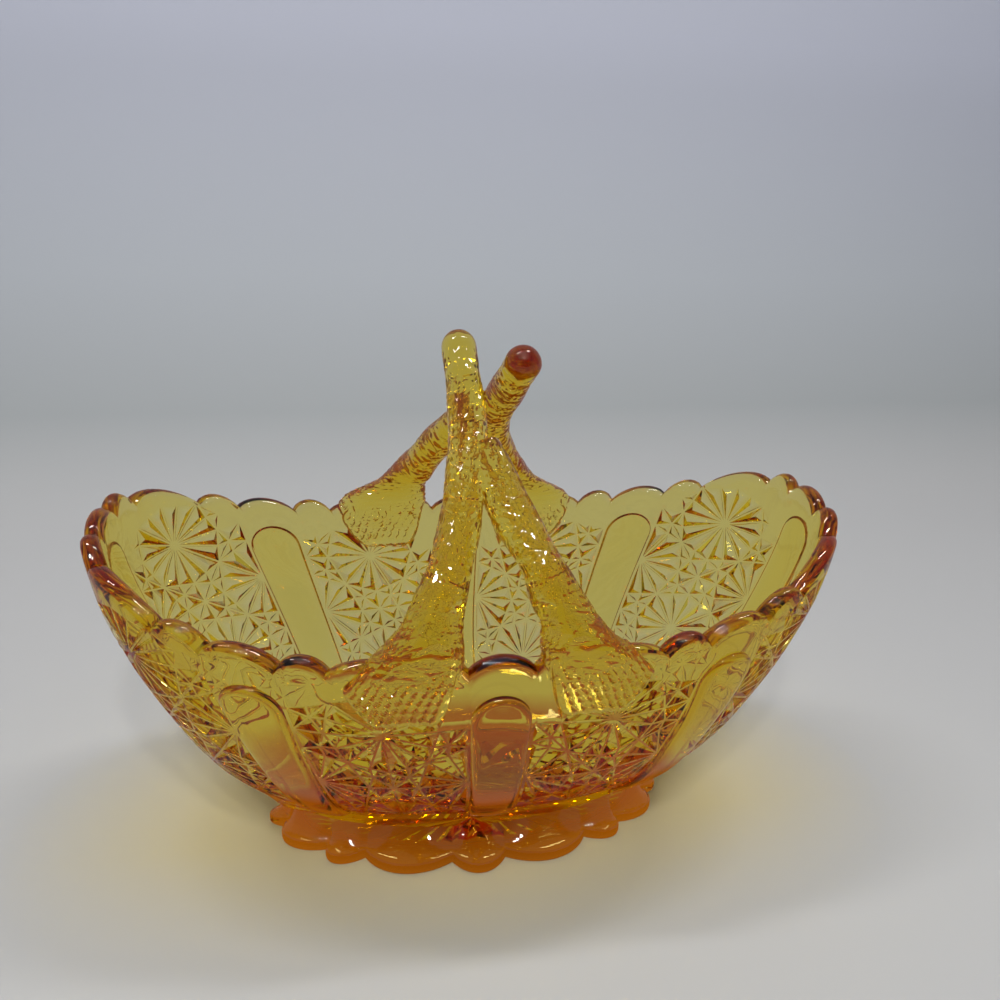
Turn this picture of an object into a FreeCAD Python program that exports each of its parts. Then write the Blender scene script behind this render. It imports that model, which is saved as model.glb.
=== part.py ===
import FreeCAD, Part
import math
import os

from FreeCAD import Vector

# Pressed glass basket, one piece: boat-shaped bowl, lobed foot and two twig handles.
# Millimetres, +Z up, the origin on the table under the middle of the foot.
# X runs along the bowl, and one handle springs from each long side.

# Rim: outer half sizes, height at the middle of a long side, and the climb to the ends
rim_half_length = 100.5
rim_half_width = 48.5
rim_power = 2.7
side_height = 84.5
end_climb = 19.7
climb_power = 3.5

# Outer wall: half length and half width at the base, the belly and the flank
base_height = 9.0
base_half_length = 60.0
base_half_width = 13.0
base_power = 1.95
belly_height = 36.0
belly_half_length = 77.6
belly_half_width = 40.0
belly_power = 2.1
flank_height = 58.0
flank_half_length = 87.6
flank_half_width = 47.2
side_half_length = 97.0

# Thickness of the wall and of the glass under the bowl's floor
wall_thickness = 4.6
floor_thickness = 7.5

# Rim lobes: one over each smooth bar, one over each panel, a small one between them
quarter_pitches = 2
bar_lobe_share = 0.27
panel_lobe_share = 0.36
lobe_rise = 3.6
rim_crown = 1.7

# Smooth upright bars between the panels
bar_width = 15.6
bar_foot_width = 11.5
bar_stand = 1.8
bar_foot_height = 24.5
bar_head_gap = 6.5

# Pressed relief between the bars: rows of rayed daisies, with button stars between them
side_daisy_height = 67.8
end_daisy_height = 83.3
daisy_step = 20.0
daisy_step_gain = 0.75
daisy_row_sag = 1.7
daisy_rows = 4
relief_gap = 0.6
relief_foot = 27.0
relief_inset = 0.8
pit_depth = 1.2
relief_reach = 5.0
ear_top = -0.5
star_top = -0.67

# Foot: lobed plate, its slope to the neck, and the rayed hollow under it
foot_half_length = 62.2
foot_half_width = 29.2
foot_power = 1.85
foot_edge = 4.2
foot_lobe_depth = 3.0
foot_large_share = 0.64
neck_half_length = 55.0
neck_half_width = 19.0
neck_height = 9.5
hollow_half_length = 50.0
hollow_half_width = 17.5
hollow_depth = 2.8
ray_depth = 1.2
ray_count = 36

# Bark pads under the roots of the handles: half widths at the rim, how far they lie from the
# middles of their panels, and the slant of their outer edges
pad_half_width = 13.6
pad_shift = 3.5
pad_drop = 13.4
pad_corner = 4.0
pad_slant = 6.0
pad_stand = 2.5

# Twig handles: the stem leg runs on into the stem, and the side leg joins it at the fork.
# Each leg has a wide flared root, an ankle, a knee and a bend. Y is counted towards its own side.
root_shift = 2.5
root_drop = 7.0
root_half_width = 12.5
root_half_depth = 4.4
flare_x = 21.6
flare_y = 46.0
flare_height = 91.0
flare_half_width = 11.5
ankle_x = 17.6
ankle_y = 43.2
ankle_height = 95.5
ankle_half_width = 7.8
knee_x = 15.0
knee_y = 39.8
knee_height = 100.0
knee_radius = 5.8
stem_bend_x = -9.3
side_bend_x = 9.6
bend_y = 31.3
bend_height = 110.7
leg_radius = 5.0
fork_x = -6.4
fork_y = 20.5
fork_height = 122.5
join_x = -0.8
join_y = 15.0
join_height = 128.0
stem_x = -5.6
stem_y = 6.5
stem_height = 136.0
stem_radius = 4.8
tip_x = -7.4
tip_y = -7.0
tip_height = 149.2
tip_radius = 4.3
handle_lean = 2.2

# Fineness of the staves, sections and outlines, and the steps of slopes and directions
staves_per_pitch = 6
level_shares = (0, 0.08, 0.18, 0.31, 0.48, 0.7, 0.88, 1)
bar_lobe_steps = 4
panel_lobe_steps = 4
small_lobe_steps = 3
lobe_overlap = 1.12
crown_flat = 0.45
crown_reach = 2.6
cutter_margin = 5.0
prism_walls = 6
blank_lobes = 3
foot_lobe_steps = 4
limb_steps = 10
level_sections = 2
limb_sides = 10
round_steps = 4
lap_count = 1440
turn_step = 0.01
slope_step = 0.5

pitch_count = 4 * quarter_pitches
rim_top = side_height + end_climb
blank_top = rim_top + blank_lobes * lobe_rise


def through(stations, height):
    """Smooth curve through (height, value) stations, in cubic pieces with matched slopes."""
    slopes = []
    for i in range(len(stations)):
        low = stations[max(i - 1, 0)]
        high = stations[min(i + 1, len(stations) - 1)]
        slopes.append((high[1] - low[1]) / (high[0] - low[0]))
    i = 0
    while i < len(stations) - 2 and height > stations[i + 1][0]:
        i += 1
    (low_height, low_value), (high_height, high_value) = stations[i], stations[i + 1]
    step = high_height - low_height
    t = (height - low_height) / step
    rise = (3 - 2 * t) * t * t
    ease_in = t * (1 - t) ** 2
    ease_out = t * t * (t - 1)
    ends = low_value + rise * (high_value - low_value)
    return ends + step * (ease_in * slopes[i] + ease_out * slopes[i + 1])


def half_length(height):
    """Outer half length of the bowl at a height."""
    return through([(base_height, base_half_length), (belly_height, belly_half_length),
                    (flank_height, flank_half_length), (side_height, side_half_length),
                    (rim_top, rim_half_length), (blank_top, rim_half_length)], height)


def half_width(height):
    """Outer half width of the bowl at a height."""
    return through([(base_height, base_half_width), (belly_height, belly_half_width),
                    (flank_height, flank_half_width), (side_height, rim_half_width),
                    (blank_top, rim_half_width)], height)


def plan_power(height):
    """Exponent of the plan outline: near an ellipse low down, fuller at the rim."""
    return through([(base_height, base_power), (belly_height, belly_power),
                    (side_height, rim_power), (blank_top, rim_power)], height)


def oval_point(long_half, wide_half, power, turn, height):
    """Point of the oval |x/a|^n + |y/b|^n = 1; turn is 0 at -Y and a quarter circle at +X."""
    s, c = math.sin(turn), math.cos(turn)
    reach = (abs(s) ** power + abs(c) ** power) ** (-1 / power)
    return Vector(long_half * reach * s, -wide_half * reach * c, height)


def wall_slope(size_at, height):
    """Run of a half size for each millimetre of height."""
    return (size_at(height + slope_step) - size_at(height - slope_step)) / (2 * slope_step)


def wall_point(turn, height, stand=0.0):
    """Point of the outer wall, moved square to the wall by a stand (inwards if negative)."""
    long_half = half_length(height) + stand * math.hypot(1, wall_slope(half_length, height))
    wide_half = half_width(height) + stand * math.hypot(1, wall_slope(half_width, height))
    return oval_point(long_half, wide_half, plan_power(height), turn, height)


def outward(turn, height):
    """Level direction square to the wall's plan outline."""
    along = wall_point(turn + turn_step, height) - wall_point(turn - turn_step, height)
    return Vector(along.y, -along.x, 0).normalize()


def lap_table():
    """Turns all round the rim, with the length along the rim up to each."""
    turns = [2 * math.pi * k / lap_count for k in range(lap_count + 1)]
    lengths = [0.0]
    for before, after in zip(turns, turns[1:]):
        step = wall_point(after, side_height) - wall_point(before, side_height)
        lengths.append(lengths[-1] + step.Length)
    return turns, lengths


lap_turns, lap_lengths = lap_table()


def turn_at(pitch):
    """Turn of a place on the rim, counted in pitches from the middle of the front."""
    length = abs(pitch) * lap_lengths[-1] / pitch_count
    k = 1
    while lap_lengths[k] < length:
        k += 1
    share = (length - lap_lengths[k - 1]) / (lap_lengths[k] - lap_lengths[k - 1])
    turn = lap_turns[k - 1] + share * (lap_turns[k] - lap_turns[k - 1])
    return math.copysign(turn, pitch)


def rim_height(turn):
    """Height of the rim's valleys, which climbs from the sides to the ends."""
    x = wall_point(turn, side_height).x
    return side_height + end_climb * (abs(x) / side_half_length) ** climb_power


def ring(points):
    """Closed wire of straight edges through points."""
    return Part.makePolygon(points + points[:1])


def face(*points):
    """Flat face with straight edges through points."""
    return Part.Face(ring(list(points)))


def solid_of(faces):
    """Solid closed by faces, turned the right way out."""
    solid = Part.Solid(Part.Shell(faces))
    if solid.Volume < 0:
        solid.reverse()
    return solid


def skin(rings):
    """Solid of flat triangles from ring to ring, all of as many points, with flat ends."""
    faces = [face(*rings[0]), face(*rings[-1])]
    for low, high in zip(rings, rings[1:]):
        for k in range(len(low)):
            before = k - 1
            faces.append(face(low[before], low[k], high[k]))
            faces.append(face(low[before], high[k], high[before]))
    return solid_of(faces)


def quarter_of_ovals(low, high, stand, overrun=0):
    """Front right quarter of the wall's ovals, in narrow staves round a corner on the middle."""
    columns = range(-overrun, quarter_pitches * staves_per_pitch + overrun + 1)
    turns = [turn_at(column / staves_per_pitch) for column in columns]
    rings = []
    for share in level_shares:
        height = low + (high - low) * share
        corner = Vector(-overrun * wall_thickness, overrun * wall_thickness, height)
        rings.append([corner] + [wall_point(turn, height, stand) for turn in turns])
    return skin(rings)


def wall_prism(outline, square):
    """Prism through the wall with an outline, square to the wall there."""
    depth = prism_walls * wall_thickness
    prism = face(*[point - square * depth for point in outline])
    return prism.extrude(square * 2 * depth)


def fan(middle, start, end, steps):
    """Points on an arc round a middle, from one square direction to another, in even steps."""
    turns = [math.pi / 2 * k / steps for k in range(steps + 1)]
    return [middle + start * math.cos(turn) + end * math.sin(turn) for turn in turns]


def bar_prism(pitch):
    """Prism of one bar: two long sides that draw together downwards, and two round ends."""
    turn = turn_at(pitch)
    head = wall_point(turn, rim_height(turn) - bar_head_gap)
    foot = wall_point(turn, bar_foot_height)
    level = outward(turn, side_height)
    across = Vector(-level.y, level.x, 0)
    along = (head - foot).normalize()
    head_half, foot_half = bar_width / 2, bar_foot_width / 2
    head_middle = head - along * head_half
    foot_middle = foot + along * foot_half
    outline = fan(head_middle, across * head_half, along * head_half, round_steps)
    outline += fan(head_middle, along * head_half, across * -head_half, round_steps)[1:]
    outline += fan(foot_middle, across * -foot_half, along * -foot_half, round_steps)
    outline += fan(foot_middle, along * -foot_half, across * foot_half, round_steps)[1:]
    return wall_prism(outline, across.cross(along).normalize())


def pad_middle():
    """Point of the front wall's rim at the middle of the pad on the right."""
    panel_middle = wall_point(turn_at(0.5), side_height)
    return Vector(panel_middle.x - pad_shift, panel_middle.y, side_height)


def pad_prism():
    """Prism of one bark pad: an upright inner edge, a slanted outer one and cut lower corners."""
    middle = pad_middle()
    top = middle.z + blank_lobes * lobe_rise
    low = middle.z - pad_drop
    inner = middle.x - pad_half_width
    outer = middle.x + pad_half_width
    corners = [(inner, top), (outer, top), (outer, middle.z),
               (outer - pad_slant / 3, low + pad_corner), (outer - pad_slant - pad_corner / 2, low),
               (inner + pad_corner, low), (inner, low + pad_corner)]
    return wall_prism([Vector(x, middle.y, height) for x, height in corners], Vector(0, -1, 0))


def block_over(grid, top):
    """Block from a sheet of points, in rows across and columns along, up to a height."""
    roof = [[Vector(point.x, point.y, top) for point in row] for row in grid]
    rows, columns = len(grid) - 1, len(grid[0]) - 1
    faces = []
    for j in range(rows):
        for k in range(columns):
            near, far = grid[j], grid[j + 1]
            faces.append(face(near[k], near[k + 1], far[k + 1]))
            faces.append(face(near[k], far[k + 1], far[k]))
    for j in (0, rows):
        for k in range(columns):
            faces.append(face(grid[j][k], grid[j][k + 1], roof[j][k + 1], roof[j][k]))
    for k in (0, columns):
        faces.append(face(*[row[k] for row in grid], roof[rows][k], roof[0][k]))
    faces.append(face(*roof[0], *reversed(roof[rows])))
    return solid_of(faces)


def lobe_cutter(middle, share, steps):
    """What lies above one rim lobe: an arch along the rim, crowned across the wall."""
    grid = []
    run = 0
    for turn in (turn_at(middle - share / 2), turn_at(middle + share / 2)):
        lean = wall_point(turn, blank_top) - wall_point(turn, rim_height(turn))
        run = max(run, math.hypot(lean.x, lean.y))
    far = crown_reach + (run + cutter_margin) / (wall_thickness / 2)
    for across in (-far, -crown_reach, -crown_flat, crown_flat, crown_reach, far):
        drop = rim_crown * (min(abs(across), crown_reach) - crown_flat) / (1 - crown_flat)
        row = []
        for k in range(steps + 1):
            along = lobe_overlap * (2 * k / steps - 1)
            turn = turn_at(middle + along * share / 2)
            valley = rim_height(turn)
            core = wall_point(turn, valley, -wall_thickness / 2)
            place = core + outward(turn, valley) * (across * wall_thickness / 2)
            row.append(Vector(place.x, place.y, valley + lobe_rise * (1 - along ** 2) - drop))
        grid.append(row)
    return block_over(grid, blank_top + lobe_rise)


def rim_cutters():
    """Cutters of the rim lobes in one quarter."""
    small_share = (1 - bar_lobe_share - panel_lobe_share) / 2
    small_place = (bar_lobe_share + small_share) / 2
    cutters = [lobe_cutter(pitch, bar_lobe_share, bar_lobe_steps) for pitch in range(quarter_pitches + 1)]
    for pitch in range(quarter_pitches):
        cutters.append(lobe_cutter(pitch + small_place, small_share, small_lobe_steps))
        cutters.append(lobe_cutter(pitch + 0.5, panel_lobe_share, panel_lobe_steps))
        cutters.append(lobe_cutter(pitch + 1 - small_place, small_share, small_lobe_steps))
    return cutters


def bar_half_width(pitch, height):
    """Half width of the bar at a pitch, without its round ends: it draws together downwards."""
    head_height = rim_height(turn_at(pitch)) - bar_head_gap
    share = (height - bar_foot_height) / (head_height - bar_foot_height)
    return (bar_foot_width + (bar_width - bar_foot_width) * min(share, 1)) / 2


def beside_bar(pitch, side, height):
    """Pitch of a place just beside a bar, on its left (-1) or right (1), at a height."""
    along = (wall_point(turn_at(pitch + turn_step), height)
             - wall_point(turn_at(pitch - turn_step), height))
    gap = bar_half_width(pitch, height) + relief_gap
    return pitch + side * gap * 2 * turn_step / along.Length


def relief_point(panel, across, row, stand):
    """Point of a panel's pattern: across runs from -1 to 1 between two bars, rows count downwards."""
    first = side_daisy_height if panel == 0 else end_daisy_height
    height = first - row * (daisy_step - daisy_step_gain * abs(row)) + daisy_row_sag * across ** 2
    start, end = beside_bar(panel, 1, height), beside_bar(panel + 1, -1, height)
    return wall_point(turn_at(start + (end - start) * (across + 1) / 2), height, stand)


def pattern_triangles():
    """Triangles of one eighth of a daisy's square, whose half side is 0.5 and middle (0, 0).

    Two are rays of the daisy and one is a ray of the button star round the square's corner. The
    two others are the small lands between them.
    """
    middle, side, corner = (0, 0), (0.5, 0), (0.5, 0.5)
    ray_end, ray_corner, star_end = (0.414, 0.172), (0.333, 0.333), (0.5, 0.264)
    return [("daisy", (middle, side, ray_end)), ("daisy", (middle, ray_end, ray_corner)),
            ("land", (side, star_end, ray_end)), ("land", (ray_end, star_end, ray_corner)),
            ("star", (ray_corner, star_end, corner))]


def is_pressed(panel, kind, across, row, down):
    """Whether a triangle is pressed: inside the panel, and under the smooth band below the rim."""
    if abs(across) > 1 or relief_point(panel, across, down, 0).z < relief_foot:
        return False
    end_side = panel == 0 and across > 0
    if row < 0:
        return end_side and kind != "daisy" and down > star_top
    if row > 0 or kind == "daisy":
        return True
    return down > 0 or end_side if kind == "star" else down > ear_top


def pattern_of(panel):
    """Kind and corners, as (across, row), of a panel's triangles: daisies on every second place."""
    pattern = []
    for row in range(-1, daisy_rows + 1):
        for column in (0,) if row % 2 == 0 else (-1, 1):
            for s, c in ((0, 1), (1, 0), (0, -1), (-1, 0)):
                for mirror in (1, -1):
                    for kind, triangle in pattern_triangles():
                        turned = [(p * c - q * mirror * s, p * s + q * mirror * c) for p, q in triangle]
                        corners = [(round(p - q + column, 3), round(p + q + row, 3)) for p, q in turned]
                        across = sum(corner[0] for corner in corners) / 3
                        down = sum(corner[1] for corner in corners) / 3
                        if is_pressed(panel, kind, across, row, down):
                            pattern.append((kind, corners))
    return pattern


def relief_cutter(panel):
    """What the mould presses in between two bars: three-sided pits between ridges and small lands."""
    faces = []
    open_edges = {}
    for kind, corners in pattern_of(panel):
        low = [relief_point(panel, *corner, -relief_inset) for corner in corners]
        high = [relief_point(panel, *corner, relief_reach) for corner in corners]
        faces.append(face(*high))
        if kind == "land":
            faces.append(face(*low))
        sides = [(low[k - 2] - low[k - 1]).Length for k in range(3)]
        spot = [sum(side * corner[k] for side, corner in zip(sides, corners)) / sum(sides) for k in (0, 1)]
        bottom = relief_point(panel, *spot, -relief_inset - pit_depth)
        for k in range(3):
            if kind != "land":
                faces.append(face(low[k - 1], low[k], bottom))
            edge = frozenset((corners[k - 1], corners[k]))
            if edge in open_edges:
                del open_edges[edge]
            else:
                open_edges[edge] = (low[k - 1], low[k], high[k], high[k - 1])
    for start, end, end_above, start_above in open_edges.values():
        faces.append(face(start, end, end_above))
        faces.append(face(start, end_above, start_above))
    return solid_of(faces)


def bowl_quarter():
    """Front right quarter of the bowl, from the middle of the front to the middle of the end."""
    quarter = quarter_of_ovals(base_height, blank_top, 0)
    for panel in range(quarter_pitches):
        quarter = quarter.cut(relief_cutter(panel))
    raised = quarter_of_ovals(base_height, blank_top, bar_stand)
    for pitch in range(quarter_pitches + 1):
        quarter = quarter.fuse(raised.common(bar_prism(pitch)))
    padded = quarter_of_ovals(base_height, blank_top, pad_stand)
    quarter = quarter.fuse(padded.common(pad_prism()))
    quarter = quarter.cut(quarter_of_ovals(base_height + floor_thickness, blank_top + lobe_rise,
                                           -wall_thickness, 1))
    for cutter in rim_cutters():
        quarter = quarter.cut(cutter)
    return quarter


def mirrored(shape, normal):
    """Shape joined with its mirror image across a plane through the middle."""
    return shape.fuse(shape.mirror(Vector(0, 0, 0), normal))


def foot_stops():
    """Turns of the foot's valleys, with a small lobe at the middle of each side and end."""
    half_small = 0.5 * (1 - foot_large_share)
    eighth_stops = (half_small, half_small + foot_large_share)
    stops = []
    for quarter in range(4):
        stops += [math.pi / 4 * (2 * quarter + stop) for stop in eighth_stops]
        stops += [math.pi / 4 * (2 * quarter + 2 - stop) for stop in reversed(eighth_stops)]
    return stops


def foot_ring(long_half, wide_half, lobe_depth, height):
    """Oval with a round lobe of some depth between each pair of the foot's valleys."""
    stops = foot_stops()
    points = []
    for start, end in zip(stops, stops[1:] + [stops[0] + 2 * math.pi]):
        for k in range(foot_lobe_steps):
            share = k / foot_lobe_steps
            depth = lobe_depth * (2 * share - 1) ** 2
            points.append(oval_point(long_half - depth, wide_half - depth, foot_power,
                                     start + (end - start) * share, height))
    return points


def foot():
    """Lobed plate, its slope up to the neck, and a plug that joins it to the bowl."""
    plug_height = base_height + floor_thickness / 2
    return skin([foot_ring(foot_half_length, foot_half_width, foot_lobe_depth, 0),
                 foot_ring(foot_half_length, foot_half_width, foot_lobe_depth, foot_edge),
                 foot_ring(neck_half_length, neck_half_width, 0, neck_height),
                 foot_ring(base_half_length - wall_thickness, base_half_width, 0, plug_height)])


def rayed_hollow():
    """Hollow under the foot, whose roof is a sunburst of shallow V rays."""
    edge = []
    for k in range(2 * ray_count):
        height = hollow_depth - ray_depth * (k % 2)
        edge.append(oval_point(hollow_half_length, hollow_half_width, foot_power,
                               math.pi * k / ray_count, height))
    low = [Vector(point.x, point.y, -foot_edge) for point in edge]
    peak = Vector(0, 0, hollow_depth)
    faces = [face(*low)]
    for k in range(len(edge)):
        faces.append(face(low[k - 1], low[k], edge[k], edge[k - 1]))
        faces.append(face(edge[k - 1], edge[k], peak))
    return solid_of(faces)


def dome_sizes():
    """How far on and how wide the rings of a limb's round end are, as shares of its radius."""
    turns = [math.pi / 2 * k / round_steps for k in range(1, round_steps)]
    return [(math.sin(turn), math.cos(turn)) for turn in turns]


def limb(points, sizes, round_end):
    """Limb through points, with an oval section at each, given by two half sizes.

    The first sections, of the root, lie level, and the rest are square to the limb's path.
    """
    path = Part.BSplineCurve()
    path.interpolate(points)
    sections = []
    for k in range(limb_steps + 1):
        place = k / limb_steps * (len(points) - 1)
        low = min(int(place), len(points) - 2)
        start, end = path.parameter(points[low]), path.parameter(points[low + 1])
        at = start + (place - low) * (end - start)
        wide, deep = [before + (place - low) * (after - before)
                      for before, after in zip(sizes[low], sizes[low + 1])]
        along = Vector(0, 0, 1) if place < level_sections else Vector(*path.tangent(at)[0])
        sections.append((path.value(at), along, wide, deep))
    if round_end:
        middle, along, wide, deep = sections[-1]
        for forward, width in dome_sizes():
            sections.append((middle + along * (wide * forward), along, wide * width, deep * width))
    rings = []
    for middle, along, wide, deep in sections:
        side = (Vector(1, 0, 0) - along * along.x).normalize()
        front = along.cross(side)
        turns = [2 * math.pi * k / limb_sides for k in range(limb_sides)]
        rings.append([middle + side * (wide * math.cos(turn)) + front * (deep * math.sin(turn))
                      for turn in turns])
    return skin(rings)


def leaned(x, y, height, lean):
    """Point of the front handle, moved along X by its share of the lean."""
    return Vector(x + lean * (height - side_height) / (tip_height - side_height), -y, height)


def leg_start(side, lean):
    """Points and section sizes of a leg's root, flare, ankle and knee; side is -1 for the stem leg."""
    middle = pad_middle()
    root_x = side * (middle.x - root_shift)
    root_y = -middle.y - wall_thickness / 2
    points = [leaned(root_x, root_y, side_height - root_drop, 0),
              leaned(side * flare_x, flare_y, flare_height, 0),
              leaned(side * ankle_x, ankle_y, ankle_height, lean),
              leaned(side * knee_x, knee_y, knee_height, lean)]
    sizes = [(root_half_width, root_half_depth), (flare_half_width, root_half_depth),
             (ankle_half_width, leg_radius), (knee_radius, knee_radius)]
    return points, sizes


def handle(lean):
    """Front handle: the stem leg with its round tip, and the side leg that runs into the stem."""
    stem = leaned(stem_x, stem_y, stem_height, lean)
    points, sizes = leg_start(-1, lean)
    points += [leaned(stem_bend_x, bend_y, bend_height, lean), leaned(fork_x, fork_y, fork_height, lean),
               stem, leaned(tip_x, tip_y, tip_height, lean)]
    sizes += [(radius, radius) for radius in (leg_radius, stem_radius, stem_radius, tip_radius)]
    stem_leg = limb(points, sizes, True)
    points, sizes = leg_start(1, 0)
    points += [leaned(side_bend_x, bend_y, bend_height, 0), leaned(join_x, join_y, join_height, 0), stem]
    sizes += [(radius, radius) for radius in (leg_radius, tip_radius, tip_radius)]
    return stem_leg.fuse(limb(points, sizes, False))


def basket():
    """The whole basket as one solid."""
    bowl = mirrored(mirrored(bowl_quarter(), Vector(1, 0, 0)), Vector(0, 1, 0))
    back = handle(-handle_lean)
    back.rotate(Vector(0, 0, 0), Vector(0, 0, 1), 180)
    whole = bowl.fuse([foot(), handle(handle_lean), back])
    return whole.cut(rayed_hollow()).removeSplitter()


os.makedirs("parts", exist_ok=True)
basket().exportStep("parts/basket.step")
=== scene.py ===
import math

import bpy
import numpy as np
from mathutils import Matrix


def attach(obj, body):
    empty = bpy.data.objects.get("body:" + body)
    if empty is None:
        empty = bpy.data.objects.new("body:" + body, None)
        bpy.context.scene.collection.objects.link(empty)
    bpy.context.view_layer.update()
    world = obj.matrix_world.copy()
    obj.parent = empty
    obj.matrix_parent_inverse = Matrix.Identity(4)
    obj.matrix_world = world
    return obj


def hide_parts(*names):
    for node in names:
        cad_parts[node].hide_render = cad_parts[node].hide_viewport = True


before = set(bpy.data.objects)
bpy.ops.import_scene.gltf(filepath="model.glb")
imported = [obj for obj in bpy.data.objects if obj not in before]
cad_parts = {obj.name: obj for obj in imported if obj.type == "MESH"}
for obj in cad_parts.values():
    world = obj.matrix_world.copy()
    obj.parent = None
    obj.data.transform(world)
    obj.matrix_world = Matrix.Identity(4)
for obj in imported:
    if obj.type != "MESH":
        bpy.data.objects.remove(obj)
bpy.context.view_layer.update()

# Pressed amber glass basket, one piece: boat-shaped bowl, rayed foot and two crossing twig handles.
# Sizes are in millimetres up to the last mesh, which is in metres. A turn is 0 at -Y and grows towards +X.

mm = 0.001


# Shared curves and skins

def through(stations, at):
    # smooth curve through (place, value) stations: cubic pieces with matched slopes, for whole arrays
    places, values = np.array(stations, float).T
    middles = np.arange(len(places))
    low, high = np.maximum(middles - 1, 0), np.minimum(middles + 1, len(places) - 1)
    slopes = (values[high] - values[low]) / (places[high] - places[low])
    piece = np.clip(np.searchsorted(places, at) - 1, 0, len(places) - 2)
    step = places[piece + 1] - places[piece]
    t = (at - places[piece]) / step
    rise = (3 - 2 * t) * t * t
    bend = t * (1 - t) ** 2 * slopes[piece] + t * t * (t - 1) * slopes[piece + 1]
    return values[piece] + rise * (values[piece + 1] - values[piece]) + step * bend


def closedSkin(rings):
    # rings[row, column]: triangles from ring to ring, and a fan to the middle of each end ring
    rows, columns = rings.shape[:2]
    points = np.concatenate([rings.reshape(-1, 3), rings[0].mean(0)[None], rings[-1].mean(0)[None]])
    here = np.arange(rows * columns).reshape(rows, columns)
    beside = np.roll(here, -1, axis=1)
    lower = np.stack([here[:-1], beside[:-1], beside[1:]], -1).reshape(-1, 3)
    upper = np.stack([here[:-1], beside[1:], here[1:]], -1).reshape(-1, 3)
    startFan = np.stack([beside[0], here[0], np.full(columns, rows * columns)], -1)
    endFan = np.stack([here[-1], beside[-1], np.full(columns, rows * columns + 1)], -1)
    triangles = np.concatenate([lower, upper, startFan, endFan])
    a, b, c = points[triangles[:, 0]], points[triangles[:, 1]], points[triangles[:, 2]]
    inside = (a * np.cross(b, c)).sum() < 0
    return points, triangles[:, ::-1] if inside else triangles


def joined(skins):
    # several skins as one list of points and triangles
    points, triangles, count = [], [], 0
    for skinPoints, skinTriangles in skins:
        points.append(skinPoints)
        triangles.append(skinTriangles + count)
        count += len(skinPoints)
    return np.concatenate(points), np.concatenate(triangles)


def halfTurned(skin):
    # the same skin turned half round about +Z
    return skin[0] * np.array([-1, -1, 1]), skin[1]


def meshObject(name, skin):
    points, triangles = skin
    mesh = bpy.data.meshes.new(name)
    mesh.vertices.add(len(points))
    mesh.vertices.foreach_set("co", points.astype(np.float32).ravel())
    mesh.loops.add(triangles.size)
    mesh.loops.foreach_set("vertex_index", triangles.astype(np.int32).ravel())
    mesh.polygons.add(len(triangles))
    mesh.polygons.foreach_set("loop_start", np.arange(0, triangles.size, 3, dtype=np.int32))
    mesh.update(calc_edges=True)
    mesh.validate()
    made = bpy.data.objects.new(name, mesh)
    bpy.context.collection.objects.link(made)
    return made


# The bowl's wall, in the same sizes as the solid

bowl = dict(
    sideHeight=84.5, endClimb=19.7, climbPower=3.5,
    lengths=((9.0, 60.0), (36.0, 77.6), (58.0, 87.6), (84.5, 97.0), (104.2, 100.5), (115.0, 100.5)),
    widths=((9.0, 13.0), (36.0, 40.0), (58.0, 47.2), (84.5, 48.5), (115.0, 48.5)),
    squareness=((9.0, 1.95), (36.0, 2.1), (84.5, 2.7), (115.0, 2.7)),
    baseHeight=9.0, floorHeight=16.5, wall=4.6, floorRound=3.0,
    pitches=8, lobeShares=(0.27, 0.185, 0.36, 0.185), lobeColumns=(12, 8, 14, 8),
    lobeRise=3.6, lobePower=0.8, crown=2.2, crownRows=9, outerRows=30, outerPower=1.15, innerRows=18,
    floorRows=5,
)


def ovalPoint(longHalf, wideHalf, power, turn, height):
    # point of the oval |x/a|^n + |y/b|^n = 1 at a turn
    s, c = np.sin(turn), np.cos(turn)
    reach = (np.abs(s) ** power + np.abs(c) ** power) ** (-1 / power)
    return np.stack([longHalf * reach * s, -wideHalf * reach * c, height + 0 * turn], -1)


def slopeStretch(stations, height):
    # millimetres of half size for each millimetre square to the wall
    step = 0.5
    return np.hypot(1, (through(stations, height + step) - through(stations, height - step)) / (2 * step))


def wallPoint(turn, height, stand=0.0):
    # outer wall at a turn and height, moved square to the wall by a stand
    turn, height, stand = np.broadcast_arrays(*[np.asarray(v, float) for v in (turn, height, stand)])
    longHalf = through(bowl["lengths"], height) + stand * slopeStretch(bowl["lengths"], height)
    wideHalf = through(bowl["widths"], height) + stand * slopeStretch(bowl["widths"], height)
    return ovalPoint(longHalf, wideHalf, through(bowl["squareness"], height), turn, height)


# lengths along the wall at the side height over two laps, each counted in pitches from the front's middle
lapSamples = 2881
lapTurns = np.linspace(-2 * np.pi, 2 * np.pi, lapSamples)
lapSteps = np.linalg.norm(np.diff(wallPoint(lapTurns, bowl["sideHeight"]), axis=0), axis=1)
lapLengths = np.concatenate([[0], np.cumsum(lapSteps)])
pitchLength = lapLengths[-1] / (2 * bowl["pitches"])
lapPitches = lapLengths / pitchLength - bowl["pitches"]
pitchStep = 0.01


def turnAt(pitch):
    # turn of a place on the rim, counted in pitches from the middle of the front
    return np.interp(pitch, lapPitches, lapTurns)


def lengthPerPitch(pitch, height):
    # millimetres along the wall for each pitch, from two places a small step to either side
    beside = wallPoint(turnAt(pitch + pitchStep), height) - wallPoint(turnAt(pitch - pitchStep), height)
    return np.linalg.norm(beside, axis=-1) / (2 * pitchStep)


def rimHeight(turn):
    # height of the rim's valleys: side height, and a climb with a power of |x| towards the ends
    x = wallPoint(turn, bowl["sideHeight"])[..., 0]
    reach = np.abs(x) / through(bowl["lengths"], bowl["sideHeight"])
    return bowl["sideHeight"] + bowl["endClimb"] * reach ** bowl["climbPower"]


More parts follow.
